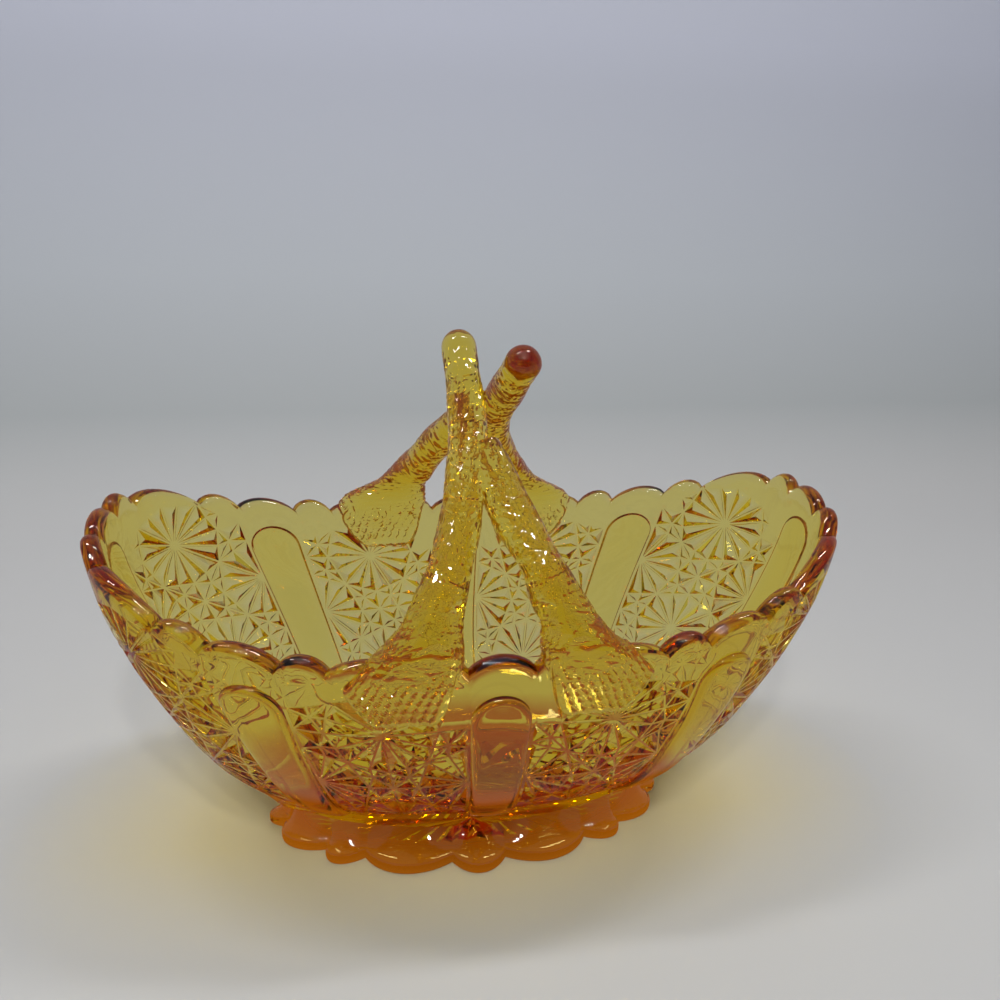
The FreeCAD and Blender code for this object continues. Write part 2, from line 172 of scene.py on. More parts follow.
def lobePlaces():
    # pitch of each column, and the lobe's height there: an arch (1 - t^2)^power from valley to valley
    pitches, rises = [], []
    start = -bowl["lobeShares"][0] / 2
    for _ in range(bowl["pitches"]):
        for share, count in zip(bowl["lobeShares"], bowl["lobeColumns"]):
            along = np.arange(count) / count
            pitches.append(start + share * along)
            rises.append((1 - (2 * along - 1) ** 2) ** bowl["lobePower"])
            start += share
    return np.concatenate(pitches), bowl["lobeRise"] * np.concatenate(rises)


def bowlSkin():
    # profile up the outer wall, over a round crown and down the inner wall, carried round the oval
    pitches, rises = lobePlaces()
    turns = turnAt(pitches)
    top = rimHeight(turns) + rises - bowl["crown"]
    rows = []
    for share in np.linspace(0, 1, bowl["outerRows"]) ** bowl["outerPower"]:
        height = bowl["baseHeight"] + share * (top - bowl["baseHeight"])
        rows.append(wallPoint(turns, height))
    half = bowl["wall"] / 2
    for angle in np.linspace(0, np.pi, bowl["crownRows"])[1:-1]:
        height = top + bowl["crown"] * np.sin(angle)
        rows.append(wallPoint(turns, height, -half + half * np.cos(angle)))
    low = bowl["floorHeight"] + bowl["floorRound"]
    for share in np.linspace(0, 1, bowl["innerRows"]):
        rows.append(wallPoint(turns, top + share * (low - top), -bowl["wall"]))
    inner = rows[-1]
    for angle in np.linspace(0, np.pi / 2, bowl["floorRows"])[1:]:
        inset = bowl["floorRound"] * (1 - np.cos(angle))
        ring = inner * (1 - inset / np.linalg.norm(inner[:, :2], axis=1, keepdims=True))
        ring[:, 2] = low - bowl["floorRound"] * np.sin(angle)
        rows.append(ring)
    return closedSkin(np.array(rows))


# Smooth upright bars

bars = dict(width=15.6, footWidth=11.5, stand=1.2, pillow=0.3, footHeight=24.5, headGap=6.5,
            edgeRound=1.5, rows=44, columns=18, sunk=2.5, leastSquare=0.01)


def barHalf(share):
    # half width at a share of the way from foot to head
    return (bars["footWidth"] + (bars["width"] - bars["footWidth"]) * share) / 2


def barSkin(pitch):
    # rows from foot to head; each ring crosses the raised face and comes back inside the wall.
    # Half width: straight taper, times a half circle at each end. Stand: a quarter round at the edge.
    turn = turnAt(pitch)
    head = rimHeight(turn) - bars["headGap"]
    shares = (1 - np.cos(np.linspace(0, np.pi, bars["rows"]))) / 2
    heights = bars["footHeight"] + (head - bars["footHeight"]) * shares
    spine = wallPoint(turn, heights)
    run = np.concatenate([[0], np.cumsum(np.linalg.norm(np.diff(spine, axis=0), axis=1))])
    half = barHalf(shares)
    fromRound = np.maximum(half - np.minimum(run, run[-1] - run), 0)
    reach = np.sqrt(np.maximum(half ** 2 - fromRound ** 2, bars["leastSquare"]))[:, None]
    across = np.sin(np.linspace(-np.pi / 2, np.pi / 2, bars["columns"]))[None]
    offset = across * reach
    fromEdge = half[:, None] - np.hypot(offset, fromRound[:, None])
    inside = np.clip(fromEdge / bars["edgeRound"], 0, 1)
    stand = bars["stand"] * np.sqrt(1 - (1 - inside) ** 2) + bars["pillow"] * inside * (1 - across ** 2)
    turns = turnAt(pitch + offset / lengthPerPitch(pitch, heights)[:, None])
    face = wallPoint(turns, heights[:, None], stand)
    back = wallPoint(turns, heights[:, None], -bars["sunk"])[:, ::-1]
    return closedSkin(np.concatenate([face, back], axis=1))


# Bark: short dashes, leaning on the pads, lengthwise on the outer face of a limb and across its inner face

bark = dict(
    pad=dict(acrossStep=2.3, alongStep=2.4, lean=-30.0, halfLong=1.4, halfThin=0.55, depth=0.5, wander=0.25),
    outer=dict(acrossStep=1.5, alongStep=4.8, lean=5.0, halfLong=2.4, halfThin=0.55, depth=0.36, wander=0.3),
    inner=dict(acrossStep=7.0, alongStep=2.1, lean=90.0, halfLong=3.3, halfThin=0.7, depth=0.36, wander=0.35),
)
barkWaves = dict(long=2.7, short=1.3, skew=2.3, across=2.1, slow=5.0, uneven=0.2)


def barkDepth(kind, across, along):
    # dashes laid like bricks on a lattice that wanders in slow sines. Each is a dimple,
    # depth * (1 - s^2 - t^2)^0.5, with s and t the shares of its half length and half width
    kind, waves = bark[kind], barkWaves
    sway = np.sin(along / waves["long"]) + 0.5 * np.sin(along / waves["short"] + across / waves["skew"])
    across = across + kind["wander"] * sway
    along = along + kind["wander"] * np.sin(across / waves["across"] + 0.4 * np.sin(along / waves["slow"]))
    row = np.round(along / kind["alongStep"])
    column = across / kind["acrossStep"] + 0.5 * (row % 2)
    middle = np.round(column)
    dx, dz = (column - middle) * kind["acrossStep"], along - row * kind["alongStep"]
    lean = math.radians(kind["lean"])
    lengthwise = dz * math.cos(lean) + dx * math.sin(lean)
    sideways = dx * math.cos(lean) - dz * math.sin(lean)
    uneven = 1 - waves["uneven"] + waves["uneven"] * np.sin(7 * row + 11 * middle)
    inside = 1 - (lengthwise / kind["halfLong"]) ** 2 - (sideways / kind["halfThin"]) ** 2
    return kind["depth"] * uneven * np.sqrt(np.maximum(0, inside))


# Bark pads on the wall, and the twig handles

pads = dict(
    inner=((70.6, 18.0), (71.6, 15.3), (75.0, 13.2), (80.0, 12.0), (86.0, 10.9), (92.0, 10.4)),
    outer=((70.6, 27.5), (71.6, 30.6), (74.6, 33.7), (78.0, 35.8), (82.0, 37.4), (84.5, 35.5), (90.0, 31.0)),
    stands=((70.6, 2.0), (84.0, 2.0), (90.0, 0.9)), scallop=0.5, scallopWidth=3.4,
    bottom=70.6, top=90.0, edgeRound=2.4, rows=54, columns=60, sunk=2.5, samples=400,
)


def padSkin(side):
    # rows from the lower edge to the rim, each from the inner to the outer edge and back inside the wall.
    # Stand: a quarter round at the edges, less the bark's dashes. The lower edge is scalloped, |sin x|
    heights = np.linspace(pads["bottom"], pads["top"], pads["rows"])[:, None]
    inner, outer = through(pads["inner"], heights), through(pads["outer"], heights)
    x = inner + (outer - inner) * np.linspace(0, 1, pads["columns"])[None]
    scallop = pads["scallop"] * np.abs(np.sin(np.pi * x / pads["scallopWidth"]))
    fromEdge = np.minimum(np.minimum(x - inner, outer - x), heights - pads["bottom"] - scallop)
    inside = np.clip(fromEdge / pads["edgeRound"], 0, 1)
    stand = through(pads["stands"], heights) * np.sqrt(1 - (1 - inside) ** 2)
    stand = stand - barkDepth("pad", x, heights) * inside
    quarter = np.linspace(0, np.pi / 2, pads["samples"])
    places = wallPoint(quarter, bowl["sideHeight"])[:, 0]
    narrowing = through(bowl["lengths"], heights) / through(bowl["lengths"], np.array(bowl["sideHeight"]))
    turns = side * np.interp(x / narrowing, places, quarter)
    face = wallPoint(turns, heights, stand)
    back = wallPoint(turns, heights, -pads["sunk"])[:, ::-1]
    return closedSkin(np.concatenate([face, back], axis=1))


# Each limb's stations: x, y, z of its middle and its half width and half depth, on a handle's own side.
# The roots lie level and flare along the rim; the two stems were bent by hand, so they differ.
limbs = dict(
    root=dict(front=((22.5, 46.0, 79.0, 11.5, 3.2), (21.5, 46.2, 85.5, 11.6, 4.2),
                     (20.1, 46.0, 88.5, 10.5, 4.5), (18.4, 45.0, 91.5, 9.2, 4.8),
                     (16.75, 43.6, 94.9, 7.8, 5.1)),
              back=((24.3, 46.0, 79.0, 12.4, 3.2), (24.6, 46.2, 85.5, 13.4, 4.2),
                    (23.4, 46.0, 89.0, 12.8, 4.5), (20.4, 44.9, 92.7, 10.2, 5.0),
                    (17.3, 42.7, 96.6, 7.6, 5.3))),
    stemLeg=dict(front=((-14.8, 40.4, 99.2, 6.5, 5.5), (-12.45, 37.0, 104.0, 5.75, 5.3),
                        (-10.3, 32.6, 109.0, 5.35, 5.2), (-8.7, 28.6, 113.4, 5.25, 5.0),
                        (-6.9, 22.6, 120.2, 5.0, 4.9), (-5.3, 15.5, 127.2, 5.0, 4.9),
                        (-4.6, 7.4, 135.0, 4.9, 4.8), (-5.2, -6.4, 148.5, 4.6, 4.4)),
                 back=((-15.6, 39.9, 100.0, 6.2, 5.6), (-11.4, 33.5, 108.0, 5.5, 5.2),
                       (-8.6, 27.0, 115.5, 5.0, 5.0), (-6.4, 18.4, 124.6, 4.9, 4.9),
                       (-6.6, 13.0, 130.0, 5.0, 4.9), (-7.6, 6.4, 136.0, 4.9, 4.8),
                       (-9.7, -5.3, 147.2, 4.8, 4.6))),
    sideLeg=dict(front=((14.3, 41.0, 98.5, 6.8, 5.5), (12.2, 38.2, 102.5, 5.9, 5.3),
                        (9.9, 34.3, 107.0, 5.35, 5.2), (7.2, 30.8, 111.3, 5.5, 5.0),
                        (4.6, 27.0, 115.5, 5.7, 5.0), (1.8, 21.8, 121.2, 5.4, 4.9),
                        (-1.6, 14.2, 128.5, 4.6, 4.6)),
                 back=((15.3, 39.9, 100.0, 6.2, 5.6), (12.7, 35.8, 105.0, 5.5, 5.2),
                       (8.0, 27.6, 114.9, 5.1, 5.0), (2.3, 18.8, 124.0, 4.9, 4.9),
                       (-2.5, 12.0, 131.0, 4.6, 4.6))),
    levelHeight=96.0, blendHeight=8.0, squareHeight=94.0, squareBlend=6.0, squarer=1.2,
    rowStep=0.64, columns=50, endRows=7, knot=0.05, knotRow=4.1, knotSwell=7.3, faceBlend=2.5,
    smoothEnd=4.5, smoothBlend=4.0,
)


def limbSkin(stations, roundEnd):
    # sections square to a smooth path: middle + side * w |cos|^(2/p) + front * d |sin|^(2/p), with p 2
    # and more at the root, less the bark's dashes, and a dome at a round end
    stations = np.array(stations, float) * np.array([1, -1, 1, 1, 1])
    chords = np.linalg.norm(np.diff(stations[:, :3], axis=0), axis=1)
    places = np.concatenate([[0], np.cumsum(chords)])
    run = np.linspace(0, places[-1], int(places[-1] / limbs["rowStep"]))
    path = np.stack([through(np.stack([places, stations[:, k]], 1), run) for k in range(5)], 1)
    middles, halves = path[:, :3], path[:, 3:]
    along = np.gradient(middles, run, axis=0)
    along /= np.linalg.norm(along, axis=1, keepdims=True)
    shrink = np.ones(len(run))
    if roundEnd:
        angles = np.linspace(0, np.pi / 2, limbs["endRows"] + 1)[1:-1]
        dome = middles[-1] + along[-1] * (halves[-1, 0] * np.sin(angles))[:, None]
        run = np.concatenate([run, run[-1] + halves[-1, 0] * np.sin(angles)])
        middles = np.concatenate([middles, dome])
        halves = np.concatenate([halves, np.repeat(halves[-1:], len(angles), 0)])
        along = np.concatenate([along, np.repeat(along[-1:], len(angles), 0)])
        shrink = np.concatenate([shrink, np.cos(angles)])
    levelTop = limbs["levelHeight"] + limbs["blendHeight"]
    level = np.clip((levelTop - middles[:, 2:]) / limbs["blendHeight"], 0, 1)
    along = along * (1 - level) + np.array([0, 0, 1]) * level
    along /= np.linalg.norm(along, axis=1, keepdims=True)
    side = np.array([1, 0, 0]) - along * along[:, :1]
    side /= np.linalg.norm(side, axis=1, keepdims=True)
    front = np.cross(along, side)
    # a lap starts at the middle of the inner face, and lengths round it are counted from the outer one
    turns = np.pi / 2 + np.linspace(0, 2 * np.pi, limbs["columns"], endpoint=False)[None]
    square = np.clip((limbs["squareHeight"] - middles[:, 2:]) / limbs["squareBlend"], 0, 1)
    power = 2 + limbs["squarer"] * square
    wave, rise = np.cos(turns), np.sin(turns)
    wave = np.sign(wave) * np.abs(wave) ** (2 / power)
    rise = np.sign(rise) * np.abs(rise) ** (2 / power)
    edge = np.stack([halves[:, :1] * wave, halves[:, 1:] * rise], -1)
    lap = np.cumsum(np.linalg.norm(edge - np.roll(edge, 1, axis=1), axis=2), axis=1)
    lap -= lap[:, limbs["columns"] // 2, None]
    knots = np.sin(run[:, None] / limbs["knotRow"] + 2 * turns)
    lumps = 1 + limbs["knot"] * knots * np.sin(run[:, None] / limbs["knotSwell"])
    outerShare = np.clip(0.5 - limbs["faceBlend"] * np.sin(turns), 0, 1)
    dimple = barkDepth("outer", lap, run[:, None]) * outerShare
    dimple += barkDepth("inner", lap, run[:, None]) * (1 - outerShare)
    if roundEnd:
        dimple *= np.clip((run[-1] - run[:, None] - limbs["smoothEnd"]) / limbs["smoothBlend"], 0, 1)
    scale = (lumps - dimple / halves.min(1)[:, None]) * shrink[:, None]
    rings = middles[:, None] + side[:, None] * (edge[..., :1] * scale[..., None])
    rings = rings + front[:, None] * (edge[..., 1:] * scale[..., None])
    return closedSkin(rings)


# Lobed foot and the rayed hollow under it

foot = dict(
    halfLength=62.2, halfWidth=29.2, squareness=1.85, edge=4.2, edgeRound=1.2, lobeDepth=4.8,
    largeShare=0.64, neckHalfLength=55.0, neckHalfWidth=19.0, neckHeight=9.5, plugHeight=12.7,
    lobeColumns=16, roundRows=4, slopeRows=8, slopePower=1.3, rays=60, hollowHalfLength=50.0,
    hollowHalfWidth=17.5, hollowDepth=2.8, hollowStart=-5.0, hollowShares=(1, 0.75, 0.5, 0.25, 0.06),
    rayDepth=1.2, rayFade=1.6,
)


def footLobes():
    # turn of each column, and how far it lies inside the lobes' outer oval: depth * t^2, with t -1 to 1
    # across a lobe. Large and small lobes take turns, and a small one stands at each end of both axes
    halfSmall = 0.5 * (1 - foot["largeShare"])
    stops = np.array([quarter + place for quarter in range(4) for place in
                      (halfSmall / 2, halfSmall / 2 + foot["largeShare"] / 2,
                       1 - halfSmall / 2 - foot["largeShare"] / 2, 1 - halfSmall / 2)]) * np.pi / 2
    along = np.arange(foot["lobeColumns"]) / foot["lobeColumns"]
    after = np.append(stops[1:], stops[0] + 2 * np.pi)
    turns = (stops[:, None] + (after - stops)[:, None] * along).ravel()
    return turns, np.tile(foot["lobeDepth"] * (2 * along - 1) ** 2, len(stops))


def footSkin():
    # lobed edge with two quarter rounds, then a slope to the neck that rises by a power of its share
    turns, depths = footLobes()
    rows = []

    def ring(inset, lobeShare, height):
        rows.append(ovalPoint(foot["halfLength"] - depths * lobeShare - inset,
                              foot["halfWidth"] - depths * lobeShare - inset,
                              foot["squareness"], turns, height))

    edgeRound = foot["edgeRound"]
    for angle in np.linspace(np.pi / 2, 0, foot["roundRows"]):
        ring(edgeRound * (1 - np.cos(angle)), 1, edgeRound * (1 - np.sin(angle)))
    for angle in np.linspace(0, np.pi / 2, foot["roundRows"]):
        ring(edgeRound * (1 - np.cos(angle)), 1, foot["edge"] - edgeRound * (1 - np.sin(angle)))
    for share in np.linspace(0, 1, foot["slopeRows"])[1:]:
        rise = share ** foot["slopePower"]
        rows.append(ovalPoint(
            (foot["halfLength"] - edgeRound - depths) * (1 - share) + foot["neckHalfLength"] * share,
            (foot["halfWidth"] - edgeRound - depths) * (1 - share) + foot["neckHalfWidth"] * share,
            foot["squareness"], turns, foot["edge"] + (foot["neckHeight"] - foot["edge"]) * rise))
    rows.append(ovalPoint(foot["neckHalfLength"], foot["neckHalfWidth"], foot["squareness"], turns,
                          foot["plugHeight"]))
    return closedSkin(np.array(rows))


def hollowSkin():
    # cutter under the foot: its roof is a sunburst of V rays, deepest between them
    turns = np.pi * np.arange(2 * foot["rays"]) / foot["rays"]
    ridge = foot["rayDepth"] * (np.arange(2 * foot["rays"]) % 2)
    rows = [ovalPoint(foot["hollowHalfLength"], foot["hollowHalfWidth"], foot["squareness"], turns,
                      foot["hollowStart"])]
    for share in foot["hollowShares"]:
        height = foot["hollowDepth"] - ridge * min(1, foot["rayFade"] * share)
        rows.append(ovalPoint(foot["hollowHalfLength"] * share, foot["hollowHalfWidth"] * share,
                              foot["squareness"], turns, height))
    return closedSkin(np.array(rows))


# Pressed relief: rayed daisies with button stars between them, cut as small three-sided pits

relief = dict(
    sideDaisy=67.8, endDaisy=83.3, rowStep=20.0, rowGain=0.75, rowSag=1.7, rows=5, barGap=0.6,
    lowest=27.5, land=0.27, slope=0.8, deepest=1.6, above=0.9, leastOpen=0.2,
)
# corners of one eighth of the motif, with the daisy's middle at (0, 0) and the button's at (0.5, 0.5)
petal, notch, wing, peak, button = (0.5, 0.0), (0.414, 0.1715), (1 / 3, 1 / 3), (0.5, 0.264), (0.5, 0.5)
motif = (((0, 0), petal, notch), ((0, 0), notch, wing), (petal, peak, notch), (notch, peak, wing),
         (wing, peak, button))


def reliefPlace(panel, u, v, stand):
    # u runs -1..1 between two bars by length along the rim, v counts rows down from the first daisies.
    # Height z0 - step v + gain v|v| + sag u^2
    first = relief["sideDaisy"] if panel % 4 in (0, 3) else relief["endDaisy"]
    height = first - relief["rowStep"] * v + relief["rowGain"] * v * np.abs(v) + relief["rowSag"] * u * u
    starts = []
    for pitch, side in ((panel, 1), (panel + 1, -1)):
        turn = turnAt(pitch)
        head = rimHeight(turn) - bars["headGap"]
        share = np.clip((height - bars["footHeight"]) / (head - bars["footHeight"]), -0.3, 1.2)
        half = barHalf(share) + relief["barGap"]
        starts.append(pitch + side * half / lengthPerPitch(pitch, height))
    return wallPoint(turnAt(starts[0] + (starts[1] - starts[0]) * (u + 1) / 2), height, stand)


def pitTriangles(panel):
    # corners in (u, v) of every pit of a panel: the motif's triangles round each daisy, in 8 mirror turns.
    # The top row keeps only the pits under the smooth band, and those of a panel's higher corner
    outer = {0: 1, 3: -1}.get(panel % 4, 0)
    kept = []
    for row in range(-1, relief["rows"]):
        for middle in ((0,) if row % 2 == 0 else (-1, 1)):
            for quarterTurn in range(4):
                c, s = ((1, 0), (0, 1), (-1, 0), (0, -1))[quarterTurn]
                for mirror in (1, -1):
                    for kind, corners in enumerate(motif):
                        p, q = np.array(corners, float).T * [[1], [mirror]]
                        p, q = p * c - q * s, p * s + q * c
                        uv = np.stack([p - q + middle, p + q + row], 1)
                        u, v = uv.mean(0)
                        if abs(u) > 1 or (row < 0 and (middle != outer or kind < 2 or v < -0.67)):
                            continue
                        if row == 0 and kind in (2, 3) and v < -0.5:
                            continue
                        if row == 0 and kind == 4 and v < 0 and not (outer * u > 0):
                            continue
                        kept.append(uv)
    return np.array(kept)


def pitSkins(panel):
    # each pit: an apex under the incentre, the triangle drawn in by the flat land, and a lid outside
    uv = pitTriangles(panel)
    flat = reliefPlace(panel, uv[..., 0], uv[..., 1], 0.0)
    sides = np.linalg.norm(flat[:, [1, 2, 0]] - flat[:, [2, 0, 1]], axis=2)
    around = sides.sum(1)
    area = np.linalg.norm(np.cross(flat[:, 1] - flat[:, 0], flat[:, 2] - flat[:, 0]), axis=1) / 2
    radius = 2 * area / around
    centre = (uv * sides[..., None]).sum(1) / around[:, None]
    drawn = 1 - relief["land"] / radius
    keep = (drawn > relief["leastOpen"]) & (flat[..., 2].mean(1) > relief["lowest"])
    uv, centre, drawn, radius = uv[keep], centre[keep], drawn[keep], radius[keep]
    inner = centre[:, None] + (uv - centre[:, None]) * drawn[:, None, None]
    depth = np.minimum(relief["slope"] * (radius - relief["land"]), relief["deepest"])
    apex = reliefPlace(panel, centre[:, 0], centre[:, 1], -depth)
    mouth = reliefPlace(panel, inner[..., 0], inner[..., 1], 0.0)
    lid = reliefPlace(panel, inner[..., 0], inner[..., 1], relief["above"])
    points = np.concatenate([apex[:, None], mouth, lid], 1)
    faces = np.array([(0, 2, 1), (0, 3, 2), (0, 1, 3), (4, 5, 6), (1, 2, 5), (1, 5, 4), (2, 3, 6),
                      (2, 6, 5), (3, 1, 4), (3, 4, 6)])
    triangles = faces[None] + 7 * np.arange(len(points))[:, None, None]
    sign = np.einsum("ij,ij->i", points[:, 4] - points[:, 0],
                     np.cross(points[:, 5] - points[:, 0], points[:, 6] - points[:, 0])) < 0
    triangles[sign] = triangles[sign][..., ::-1]
    return points.reshape(-1, 3), triangles.reshape(-1, 3)


# The one piece of glass

def merged(body, skin, operation, name):
    # body joined with, or cut by, a closed skin
    tool = meshObject(name, skin)
    step = body.modifiers.new(name, "BOOLEAN")
    step.operation, step.object, step.solver = operation, tool, "MANIFOLD"
    depsgraph = bpy.context.evaluated_depsgraph_get()
    result = bpy.data.meshes.new_from_object(body.evaluated_get(depsgraph))
    body.modifiers.clear()
    body.data = result
    bpy.data.objects.remove(tool)
    print("  ", operation.lower(), name, len(result.polygons), "faces")


print("glass body")
sharpAngle = 24
body = meshObject("glassBasket", bowlSkin())
merged(body, joined([pitSkins(panel) for panel in range(-4, 4)]), "DIFFERENCE", "pits")
merged(body, joined([barSkin(pitch) for pitch in range(-3, 5)]), "UNION", "bars")
padPair = joined([padSkin(1), padSkin(-1)])
merged(body, joined([padPair, halfTurned(padPair)]), "UNION", "pads")
merged(body, footSkin(), "UNION", "foot")
merged(body, hollowSkin(), "DIFFERENCE", "hollow")
for side in ("front", "back"):
    for leg, way in (("stemLeg", -1), ("sideLeg", 1)):
        root = tuple((way * x, *rest) for x, *rest in limbs["root"][side])
        skin = limbSkin(root + limbs[leg][side], leg == "stemLeg")
        merged(body, halfTurned(skin) if side == "back" else skin, "UNION", side + leg)
body.data.name = "glassBasket"
body.data.transform(Matrix.Scale(mm, 4))
body.data.set_sharp_from_angle(angle=math.radians(sharpAngle))
body.data.polygons.foreach_set("use_smooth", np.ones(len(body.data.polygons), bool))
edges = np.zeros(len(body.data.loops), np.int32)
body.data.loops.foreach_get("edge_index", edges)
uses = np.bincount(edges, minlength=len(body.data.edges))
print("  edges not shared by two faces:", int((uses != 2).sum()))
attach(body, "root")
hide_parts("basket")


# Materials

def linear(code):
    # sRGB hex to linear red, green, blue
    parts = [int(code[k:k + 2], 16) / 255 for k in (1, 3, 5)]
    return tuple(c / 12.92 if c <= 0.04045 else ((c + 0.055) / 1.055) ** 2.4 for c in parts)


def addNode(tree, kind, settings=(), links=()):
    # one node with its settings (attribute or socket, value) and links (socket, source socket)
    node = tree.nodes.new(kind)
    for key, value in dict(settings).items():
        if isinstance(key, str) and hasattr(node, key):
            setattr(node, key, value)
        else:
            node.inputs[key].default_value = value
    for key, source in dict(links).items():
        tree.links.new(source, node.inputs[key])
    return node


def newMaterial(name):
    material = bpy.data.materials.new(name)
    material.use_nodes = True
    material.node_tree.nodes.clear()
    return material, material.node_tree


# Pressed soda-lime glass coloured amber, then fire-polished. The eye sees clear glass that is straw yellow
# where thin and orange where thick, with soft waves 5 mm long that the mould and the flame leave.
# keep is the share of red, green and blue that the volume lets by, and density is for each metre
amberGlass = dict(ior=1.52, roughness=0.012, keep=(0.978, 0.874, 0.0), density=250.0,
                  rippleSize=5.0, rippleHeight=0.2, ripple=0.12, rippleDetail=1.0, rippleRoughness=0.4)


def amberGlassMaterial():
    material, tree = newMaterial("pressedAmberGlass")
    place = addNode(tree, "ShaderNodeTexCoord")
    scale = 1 / (amberGlass["rippleSize"] * mm)
    noise = addNode(tree, "ShaderNodeTexNoise", {
        "Scale": scale, "Detail": amberGlass["rippleDetail"], "Roughness": amberGlass["rippleRoughness"]},
        {"Vector": place.outputs["Object"]})
    bump = addNode(tree, "ShaderNodeBump", {
        "Strength": amberGlass["ripple"], "Distance": amberGlass["rippleHeight"] * mm},
        {"Height": noise.outputs["Fac"]})
    glass = addNode(tree, "ShaderNodeBsdfPrincipled", {
        "Base Color": (1, 1, 1, 1), "Roughness": amberGlass["roughness"], "IOR": amberGlass["ior"],
        "Transmission Weight": 1.0}, {"Normal": bump.outputs["Normal"]})
    tint = addNode(tree, "ShaderNodeVolumeAbsorption", {
        "Color": (*amberGlass["keep"], 1), "Density": amberGlass["density"]})
    addNode(tree, "ShaderNodeOutputMaterial", {}, {"Surface": glass.outputs[0], "Volume": tint.outputs[0]})
    return material


print("amber glass")
body.data.materials.clear()
body.data.materials.append(amberGlassMaterial())


# Pale floor and backdrop, lamps, world and camera. Sizes from here on are in metres

studio = dict(
    # board: the board's base colour by height, with painted shade a little way up the cove and painted light,
    # paler and bluer, higher up the wall
    board=((0.0, "#C2C1BF"), (0.03, "#AEB1B1"), (0.1, "#BDC1C6"), (0.25, "#CCCFDD")), paintedLightTop=0.3,
    # painted caustic light: a yellowish tint on the board round the foot, full near it, fading out further
    # off, and off in front of it
    mirrored="#9C979A", seenWall="#A6A9AC", paintedCausticTint="#C9BC93", paintedCausticFrom=1.0, paintedCausticTo=1.8,
    paintedCausticFront=-0.06, paintedCausticBack=-0.01,
    # amber: painted caustic light and shade, an oval patch under the glass, darkest under the foot's middle,
    # which only rays through the glass see
    amber=((0.0, "#62320F"), (0.4, "#844A15"), (0.7, "#9C5A17"), (1.0, "#90591B"), (1.3, "#A9A9A5")),
    # in reflections the floor beyond the patch shows a painted shadow colour, mixed in over the reach range
    # given here
    paintedLightPatchReach=2.0, halfLength=0.078, halfDepth=0.046, paintedShadowFrom=0.9, paintedShadowTo=1.3,
    boardRoughness=0.8, boardShine=0.2, front=1.6, back=0.42, cove=0.22, coveRows=24, height=1.5,
    halfWidth=2.0, world="#B4B8BF", dark="#4A4B4E", darkUntil=-0.85, paleFrom=-0.25,
    mirroredWorld="#7C7F84",
)


